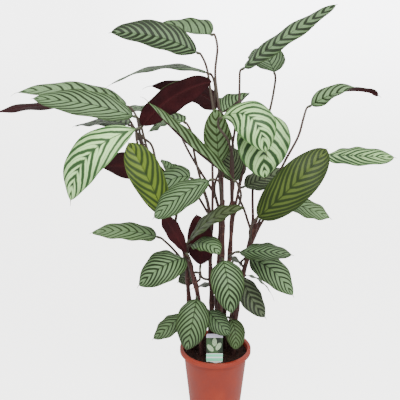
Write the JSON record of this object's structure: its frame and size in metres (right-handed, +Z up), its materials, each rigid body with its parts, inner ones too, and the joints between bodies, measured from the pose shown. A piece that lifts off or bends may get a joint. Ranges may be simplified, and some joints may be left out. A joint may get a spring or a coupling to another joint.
{
  "type": "potted ctenanthe",
  "caption": "Tall ctenanthe house plant: long oval striped leaves with maroon undersides on thin upright stems, in a round tapered nursery pot of soil with a plant label.",
  "frame": {"origin": "centre of the underside of the pot's foot, on the surface it stands on", "axes": "+Z up; the pictured front looks along -Y, with +X to the right of that view"},
  "size_m": [0.9655, 0.3657, 1.0461],
  "materials": {
    "pot": "satin",
    "soil": "matte",
    "label": "satin",
    "cane": "satin",
    "leaf_mid": "satin",
    "leaf_pale": "satin",
    "leaf_young": "satin",
    "leaf_olive": "satin",
    "leaf_dark": "satin"
  },
  "bodies": {
    "root": {"cane_a": "cane", "cane_b": "cane", "cane_c": "cane", "cane_d": "cane", "cane_e": "cane", "cane_f": "cane", "cane_g": "cane", "cane_h": "cane", "label": "label", "leaf_a1": "leaf_mid", "leaf_a2": "leaf_dark", "leaf_a3": "leaf_mid", "leaf_b1": "leaf_mid", "leaf_b10": "leaf_mid", "leaf_b11": "leaf_pale", "leaf_b12": "leaf_mid", "leaf_b13": "leaf_mid", "leaf_b2": "leaf_mid", "leaf_b3": "leaf_mid", "leaf_b4": "leaf_mid", "leaf_b5": "leaf_dark", "leaf_b6": "leaf_mid", "leaf_b7": "leaf_mid", "leaf_b8": "leaf_young", "leaf_b9": "leaf_mid", "leaf_c1": "leaf_mid", "leaf_c2": "leaf_dark", "leaf_c3": "leaf_mid", "leaf_c4": "leaf_mid", "leaf_c5": "leaf_mid", "leaf_c6": "leaf_mid", "leaf_c7": "leaf_mid", "leaf_d1": "leaf_mid", "leaf_d2": "leaf_mid", "leaf_d3": "leaf_mid", "leaf_d4": "leaf_mid", "leaf_e1": "leaf_mid", "leaf_e2": "leaf_dark", "leaf_e3": "leaf_mid", "leaf_e4": "leaf_pale", "leaf_e5": "leaf_mid", "leaf_e6": "leaf_mid", "leaf_e7": "leaf_pale", "leaf_e8": "leaf_mid", "leaf_f1": "leaf_mid", "leaf_f2": "leaf_mid", "leaf_f3": "leaf_dark", "leaf_f4": "leaf_mid", "leaf_f5": "leaf_mid", "leaf_g1": "leaf_dark", "leaf_g2": "leaf_mid", "leaf_g3": "leaf_olive", "leaf_g4": "leaf_pale", "leaf_h1": "leaf_dark", "leaf_h2": "leaf_mid", "leaf_h3": "leaf_mid", "leaf_h4": "leaf_mid", "pot": "pot", "soil": "soil"}
  },
  "joints": []
}
